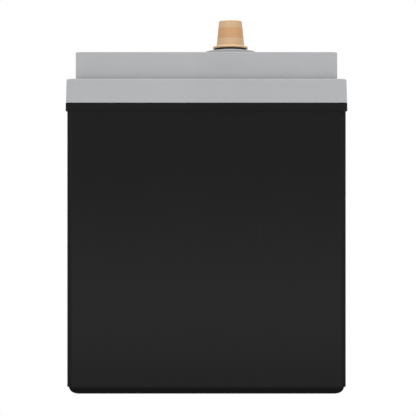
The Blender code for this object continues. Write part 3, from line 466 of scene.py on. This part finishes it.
def insulation(name, tone, dusty):
    """Silicone cable insulation: matt, slightly uneven, with talc left on it."""
    finish = Finish(name, specular=0.35)
    talc = finish.noise(380, 4, 0.65)
    colour = finish.mixed(talc.ramp(0.50, 0.85) * 0.6, tone, dusty)
    normal = finish.relief(finish.noise(900, 2, 0.5), 0.00003)
    return finish.paint(colour=colour, roughness=0.48 + talc * 0.2, normal=normal)


def cable_black():
    return insulation("cable_black", (0.012, 0.012, 0.012), (0.060, 0.060, 0.060))


def cable_red():
    return insulation("cable_red", (0.430, 0.016, 0.014), (0.520, 0.110, 0.100))


def plug_white():
    """Natural nylon, slightly yellow in places."""
    finish = Finish("plug_white", specular=0.45)
    age = finish.noise(130, 3, 0.5)
    grain = finish.noise(3000, 2, 0.5)
    colour = finish.mixed(age, (0.760, 0.745, 0.700), (0.720, 0.680, 0.580))
    normal = finish.relief(grain, 0.00001)
    return finish.paint(colour=colour, roughness=0.42 + age * 0.12, normal=normal)


FINISHES = (
    black_plastic,
    grey_plastic,
    brass,
    rubber,
    zinc_steel,
    aluminium,
    cell_wrap,
    insulator,
    copper,
    board,
    foam,
    cable_black,
    cable_red,
    plug_white,
)


# Modelling, in edit mode and with modifiers


def only(thing):
    """Selects the thing and nothing else."""
    bpy.ops.object.select_all(action="DESELECT")
    thing.select_set(True)
    bpy.context.view_layer.objects.active = thing


def edit(thing):
    only(thing)
    bpy.ops.object.mode_set(mode="EDIT")


def done():
    bpy.ops.object.mode_set(mode="OBJECT")


def pick(kind, test):
    """Selects the faces or edges of the mesh in edit mode that pass the test."""
    bpy.ops.mesh.select_mode(type=kind)
    bpy.ops.mesh.select_all(action="DESELECT")
    mesh = bpy.context.edit_object.data
    drawn = bmesh.from_edit_mesh(mesh)
    for part in {"EDGE": drawn.edges, "FACE": drawn.faces}[kind]:
        if test(part):
            part.select_set(True)
    bmesh.update_edit_mesh(mesh)


def picked_points():
    mesh = bpy.context.edit_object.data
    return [v.co.copy() for v in bmesh.from_edit_mesh(mesh).verts if v.select]


def upright(edge):
    a, b = (v.co for v in edge.verts)
    return abs(a.z - b.z) > 1e-5 and (a - b).xy.length < 1e-6


def rounded_block(name, low, high, corner, segments=8):
    """A box between two corners of space, with round upright edges."""
    middle = [(a + b) / 2 for a, b in zip(low, high)]
    size = [b - a for a, b in zip(low, high)]
    bpy.ops.mesh.primitive_cube_add(size=1, location=middle, scale=size)
    made = bpy.context.object
    made.name = name
    bpy.ops.object.transform_apply(location=True, rotation=True, scale=True)
    edit(made)
    pick("EDGE", upright)
    bpy.ops.mesh.bevel(offset=corner, offset_type="OFFSET", segments=segments, affect="EDGES")
    done()
    return made


def disc_block(name, radius, base, top, centre, sides):
    """A short cylinder between two heights."""
    place, depth = (*centre, (base + top) / 2), top - base
    bpy.ops.mesh.primitive_cylinder_add(vertices=sides, radius=radius, depth=depth, location=place)
    made = bpy.context.object
    made.name = name
    bpy.ops.object.transform_apply(location=True, rotation=True, scale=True)
    return made


def walk(thing, upwards, steps):
    """Draws the top or bottom face on through steps of half-width, half-length and height."""
    edit(thing)
    ends = [v.co.z for v in bmesh.from_edit_mesh(thing.data).verts]
    level = max(ends) if upwards else min(ends)
    pick("FACE", lambda face: all(abs(v.co.z - level) < 1e-6 for v in face.verts))
    for half_x, half_y, z in steps:
        points = picked_points()
        lowest = [min(p[i] for p in points) for i in range(2)]
        highest = [max(p[i] for p in points) for i in range(2)]
        centre = [(a + b) / 2 for a, b in zip(lowest, highest)]
        halves = [(b - a) / 2 for a, b in zip(lowest, highest)]
        rise = z - points[0].z
        bpy.ops.mesh.extrude_region_move(TRANSFORM_OT_translate={"value": (0, 0, rise)})
        grown = (half_x / halves[0], half_y / halves[1], 1)
        bpy.ops.transform.resize(value=grown, center_override=(*centre, z))
    done()


def turn_on(thing, upwards, steps):
    """Does what walk() does for a round piece, through steps of radius and height."""
    walk(thing, upwards, [(radius, radius, z) for radius, z in steps])


def apply_modifier(thing, kind, **settings):
    only(thing)
    modifier = thing.modifiers.new(kind.lower(), kind)
    for key, value in settings.items():
        setattr(modifier, key, value)
    bpy.ops.object.modifier_apply(modifier=modifier.name)


def ease(thing, width, segments=3, angle=40):
    """Rounds every edge sharper than the angle."""
    apply_modifier(
        thing,
        "BEVEL",
        width=width,
        segments=segments,
        limit_method="ANGLE",
        angle_limit=radians(angle),
        use_clamp_overlap=True,
    )


def combine(thing, operation, others):
    """Joins the others to the thing, or cuts it by them."""
    for other in others:
        apply_modifier(thing, "BOOLEAN", operation=operation, object=other, solver="EXACT")
        bpy.data.objects.remove(other)


def smooth(thing, angle=30):
    only(thing)
    bpy.ops.object.shade_smooth_by_angle(angle=radians(angle))
    apply_modifier(thing, "WEIGHTED_NORMAL", keep_sharp=True, weight=80)


def fitted(thing, slot_name, *nodes):
    """Gives a finished piece its finish and its body, and hides the nodes that it stands for."""
    thing.data.materials.clear()
    thing.data.materials.append(materials[slot_name])
    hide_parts(*nodes)
    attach(thing, "root")


def arc(centre, radius, start, end, steps):
    """Points of an arc, with its angles in degrees."""
    angles = [radians(start + (end - start) * i / steps) for i in range(steps + 1)]
    return [(centre[0] + radius * cos(a), centre[1] + radius * sin(a)) for a in angles]


def inset_steps(profile):
    """Steps for walk() from pairs of inset from the rim's outline and height."""
    return [(RIM_X - inset, RIM_Y - inset, z) for inset, z in profile]


# Outer pieces


def case_shell():
    wall = RIM_PROUD
    inner = wall + CASE_WALL
    foot = wall + FOOT_STEP
    foot_edge = foot + FOOT_EDGE
    rim_base = CASE_TOP - RIM_HEIGHT
    low = (wall - RIM_X, wall - RIM_Y, FOOT_HEIGHT)
    high = (RIM_X - wall, RIM_Y - wall, rim_base)
    shell = rounded_block("case_shell", low, high, WALL_CORNER)
    groove = GROOVE_LIP + GROOVE_WIDTH
    up = [
        (0, rim_base),
        (0, CASE_TOP),
        (GROOVE_LIP, CASE_TOP),
        (GROOVE_LIP, CASE_TOP - GROOVE_DEPTH),
        (groove, CASE_TOP - GROOVE_DEPTH),
        (groove, CASE_TOP),
        (RIM_THICKNESS, CASE_TOP),
        (RIM_THICKNESS, rim_base),
        (inner, rim_base - (RIM_THICKNESS - inner)),
        (inner, CASE_FLOOR),
    ]
    foot_turn = 180 + degrees(asin(1 - FOOT_HEIGHT / FOOT_EDGE))
    down = [
        *arc((foot_edge, FOOT_EDGE), FOOT_EDGE, foot_turn, 270, 8),
        (foot_edge + LAND_WIDTH, 0),
        (foot_edge + LAND_WIDTH + LAND_RECESS, LAND_RECESS),
    ]
    walk(shell, True, inset_steps(up))
    walk(shell, False, inset_steps(down))
    ease(shell, CASE_EDGE)
    smooth(shell)
    fitted(shell, "black_plastic", "case")


def lid_cover():
    ledge = LID_LOWER_INSET + LEDGE_WIDTH
    low = (LID_BOTTOM_INSET - RIM_X, LID_BOTTOM_INSET - RIM_Y, LID_BASE)
    high = (RIM_X - LID_BOTTOM_INSET, RIM_Y - LID_BOTTOM_INSET, LID_BASE + LID_LIP)
    cover = rounded_block("lid_cover", low, high, LID_CORNER)
    up = [
        (LID_LOWER_INSET, LEDGE_TOP - 2 * LEDGE_EDGE),
        *arc((LID_LOWER_INSET + LEDGE_EDGE, LEDGE_TOP - LEDGE_EDGE), LEDGE_EDGE, 180, 90, 6),
        (ledge, LEDGE_TOP),
        *arc((ledge + TOP_EDGE, LID_TOP - TOP_EDGE), TOP_EDGE, 180, 90, 4),
    ]
    tongue_outer = GROOVE_LIP + TONGUE_CLEARANCE
    tongue_inner = GROOVE_LIP + GROOVE_WIDTH - TONGUE_CLEARANCE
    down = [
        (tongue_outer, LID_BASE),
        (tongue_outer, LID_BASE - TONGUE_DEPTH),
        (tongue_inner, LID_BASE - TONGUE_DEPTH),
        (tongue_inner, LID_BASE),
        (RIM_THICKNESS, LID_BASE),
        (RIM_THICKNESS, LEDGE_TOP - LID_WALL),
        (ledge + LID_WALL, LEDGE_TOP - LID_WALL),
        (ledge + LID_WALL, CEILING),
    ]
    walk(cover, True, inset_steps(up))
    walk(cover, False, inset_steps(down))
    additions, holes = [], [label_cutter()]
    for polarity, way in (("negative", -1), ("positive", 1)):
        x, y = post_centre(polarity)
        additions.append(boss(x, y))
        additions += polarity_mark(x - MARK_OFFSET, y, way > 0)
        holes.append(shank_cutter(x, y))
    combine(cover, "UNION", additions)
    combine(cover, "DIFFERENCE", holes)
    smooth(cover)
    fitted(cover, "grey_plastic", "lid")


def post_centre(polarity):
    low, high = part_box(f"post_{polarity}")
    return (low.x + high.x) / 2, (low.y + high.y) / 2


def label_cutter():
    width, length, depth = LABEL
    low = (-width / 2, -length / 2, LID_TOP - depth)
    high = (width / 2, length / 2, LID_TOP + OVERCUT)
    return rounded_block("label_cutter", low, high, LABEL_CORNER)


def shank_cutter(x, y):
    half = SQUARE_SHANK / 2 + LID_GAP
    low = (x - half, y - half, CEILING - OVERCUT)
    high = (x + half, y + half, BOSS_TOP + OVERCUT)
    return rounded_block("shank_cutter", low, high, SHANK_HOLE_CORNER, 3)


def boss(x, y):
    """The raised round seat of a post, sunk into the lid's top."""
    outer = BOSS_RADIUS + BOSS_FILLET
    edge = BOSS_CROWN * 0.7
    side = BOSS_TOP - BOSS_CROWN - edge
    made = disc_block("boss", outer, LID_TOP - LID_WALL / 2, LID_TOP, (x, y), TURNED_SIDES)
    steps = [
        *arc((outer, LID_TOP + BOSS_FILLET), BOSS_FILLET, 270, 180, 8)[1:],
        (BOSS_RADIUS, side),
        *arc((BOSS_RADIUS - edge, side), edge, 0, 55, 4)[1:],
        (BOSS_TOP_RADIUS, BOSS_TOP),
    ]
    turn_on(made, True, steps)
    return made


def polarity_mark(x, y, crossed):
    """A raised bar, or a cross."""
    length, width, height = MARK
    bars = [(length, width), (width, length)] if crossed else [(length, width)]
    made = []
    for size_x, size_y in bars:
        low = (x - size_x / 2, y - size_y / 2, LID_TOP - LID_WALL / 2)
        high = (x + size_x / 2, y + size_y / 2, LID_TOP + height)
        made.append(rounded_block("mark", low, high, width * 0.2, 4))
    return made


def post(polarity):
    low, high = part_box(f"post_{polarity}")
    x, y = post_centre(polarity)
    flange_radius = (high.x - low.x) / 2
    edge_centre = flange_radius - FLANGE_EDGE
    edge_low, edge_high = FLANGE_BASE + FLANGE_EDGE, FLANGE_TOP - FLANGE_EDGE
    base = POST_BASE_RADIUS[polarity]
    top = base - POST_TAPER
    in_fillet = 0.3 * POST_FILLET
    name = f"post_{polarity}_turned"
    body = disc_block(name, flange_radius, edge_low, edge_high, (x, y), TURNED_SIDES)
    up = [
        *arc((edge_centre, edge_high), FLANGE_EDGE, 0, 90, 6)[1:],
        (base + POST_FILLET, FLANGE_TOP),
        (base + in_fillet, FLANGE_TOP + in_fillet),
        (base, FLANGE_TOP + POST_FILLET),
        *arc((top - POST_EDGE, high.z - POST_EDGE), POST_EDGE, 0, 90, 6),
        (top * 0.5, high.z),
    ]
    turn_on(body, True, up)
    turn_on(body, False, arc((edge_centre, edge_low), FLANGE_EDGE, 0, -90, 6)[1:])
    half = SQUARE_SHANK / 2
    square_low = (x - half, y - half, CEILING + LID_GAP)
    square_high = (x + half, y + half, FLANGE_BASE + FLANGE_THICKNESS / 2)
    square = rounded_block("square", square_low, square_high, SQUARE_EDGE, 3)
    shank_base, shank_top = low.z + SHANK_CHAMFER, CEILING + SHANK_OVERLAP
    shank = disc_block("shank", SHANK_RADIUS, shank_base, shank_top, (x, y), SHANK_SIDES)
    turn_on(shank, False, [(SHANK_RADIUS - SHANK_CHAMFER, low.z)])
    combine(body, "UNION", [square, shank])
    smooth(body)
    fitted(body, "brass", f"post_{polarity}")


def post_seal(polarity):
    low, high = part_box(f"post_seal_{polarity}")
    x, y = post_centre(polarity)
    radius = (high.x - low.x) / 2
    hole_radius = SQUARE_SHANK / 2 * 2**0.5 + LID_GAP
    base, top = low.z - SEAL_SETTLED, high.z - SEAL_SETTLED
    ring = disc_block(f"post_seal_{polarity}_ring", radius, base, top, (x, y), SEAL_SIDES)
    hole_base, hole_top = low.z - OVERCUT, high.z + OVERCUT
    hole = disc_block("hole", hole_radius, hole_base, hole_top, (x, y), SEAL_SIDES)
    combine(ring, "DIFFERENCE", [hole])
    ease(ring, SEAL_EDGE)
    smooth(ring)
    fitted(ring, "rubber", f"post_seal_{polarity}")


# Foam


def foam_pad(node):
    """A pad cut from foam, with soft corners and an uneven skin that stays inside its solid."""
    low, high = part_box(node)
    pad = rounded_block(f"{node}_pad", low, high, FOAM_CORNER, 4)
    ease(pad, FOAM_EDGE)
    apply_modifier(pad, "REMESH", mode="VOXEL", voxel_size=FOAM_VOXEL)
    unevenness = bpy.data.textures.new(f"{node}_unevenness", "CLOUDS")
    unevenness.noise_scale = FOAM_UNEVEN_SCALE
    depth = -FOAM_UNEVEN_DEPTH
    apply_modifier(pad, "DISPLACE", texture=unevenness, strength=depth, mid_level=-0.3)
    smooth(pad, 60)
    fitted(pad, "foam", node)


# Studio


def studio():
    """A dim horizon, darker at both sides, under a bright ceiling, over a white floor."""
    horizon, sky_level, ceiling = 0.48, 0.82, 1.70
    side_dimming = 0.05
    scene = bpy.context.scene
    scene.view_settings.view_transform = "Standard"
    scene.world = bpy.data.worlds.new("studio")
    scene.world.use_nodes = True
    world = Nodes(scene.world.node_tree)
    x, _, z = world.axes(world.node("TexCoord").outputs["Generated"])
    upward = z.ramp(0.06, 0.20) * (sky_level - horizon)
    upward = upward + z.ramp(0.45, 0.80) * (ceiling - sky_level)
    level = horizon + upward - abs(x).ramp(0.60, 0.95) * side_dimming
    sky = world.tree.nodes["Background"].inputs
    world.feed(sky["Color"], (1, 1, 1))
    world.feed(sky["Strength"], level)
    backdrop()
    floor()
    bounce_board()


def stage_piece(name, material, camera_sees):
    """Makes the object just added part of the studio, met by the camera only or by light only."""
    made = bpy.context.object
    made.name = name
    made.data.materials.append(material)
    made.visible_camera = camera_sees
    made.visible_diffuse = made.visible_glossy = made.visible_transmission = not camera_sees
    made.visible_shadow = not camera_sees


def plain_white(name):
    """Shows the same white from everywhere."""
    white = Finish(name, colour=BLACK, specular=0, glow=WHITE, glow_strength=1)
    return white.material


def backdrop():
    """A white dome, so that no horizon shows."""
    bpy.ops.mesh.primitive_uv_sphere_add(segments=48, ring_count=24, radius=DOME_RADIUS)
    stage_piece("backdrop", plain_white("backdrop"), True)


def floor():
    bpy.ops.mesh.primitive_plane_add(size=FLOOR_SIZE)
    stage_piece("floor", plain_white("floor"), True)


def bounce_board():
    """Lights the pack from just below the floor, and is dark close round its foot."""
    near_glow, far_glow, depth = 0.90, 0.40, 0.0005
    glow = near_glow + far_glow
    bpy.ops.mesh.primitive_plane_add(size=FLOOR_SIZE, location=(0, 0, -depth))
    board = Finish("bounce_board", colour=BLACK, specular=0, glow_strength=glow)
    away = (abs(board.x) - RIM_X).either(abs(board.y) - RIM_Y)
    share = away.ramp(-0.014, 0.022) * (near_glow / glow)
    share = share + away.ramp(0.05, 0.50) * (far_glow / glow)
    board.paint(glow=board.mixed(share, BLACK, WHITE))
    stage_piece("bounce_board", board.material, False)


materials = {make.__name__: make() for make in FINISHES}
for row in frame["record"]["subparts"]:
    frame["nodes"][row["node"]].material_slots[0].material = materials[row["material_slot"]]
camera()
studio()
case_shell()
lid_cover()
for polarity in ("negative", "positive"):
    post(polarity)
    post_seal(polarity)

for name in ("floor", "front", "rear", "top"):
    foam_pad(f"foam_{name}")
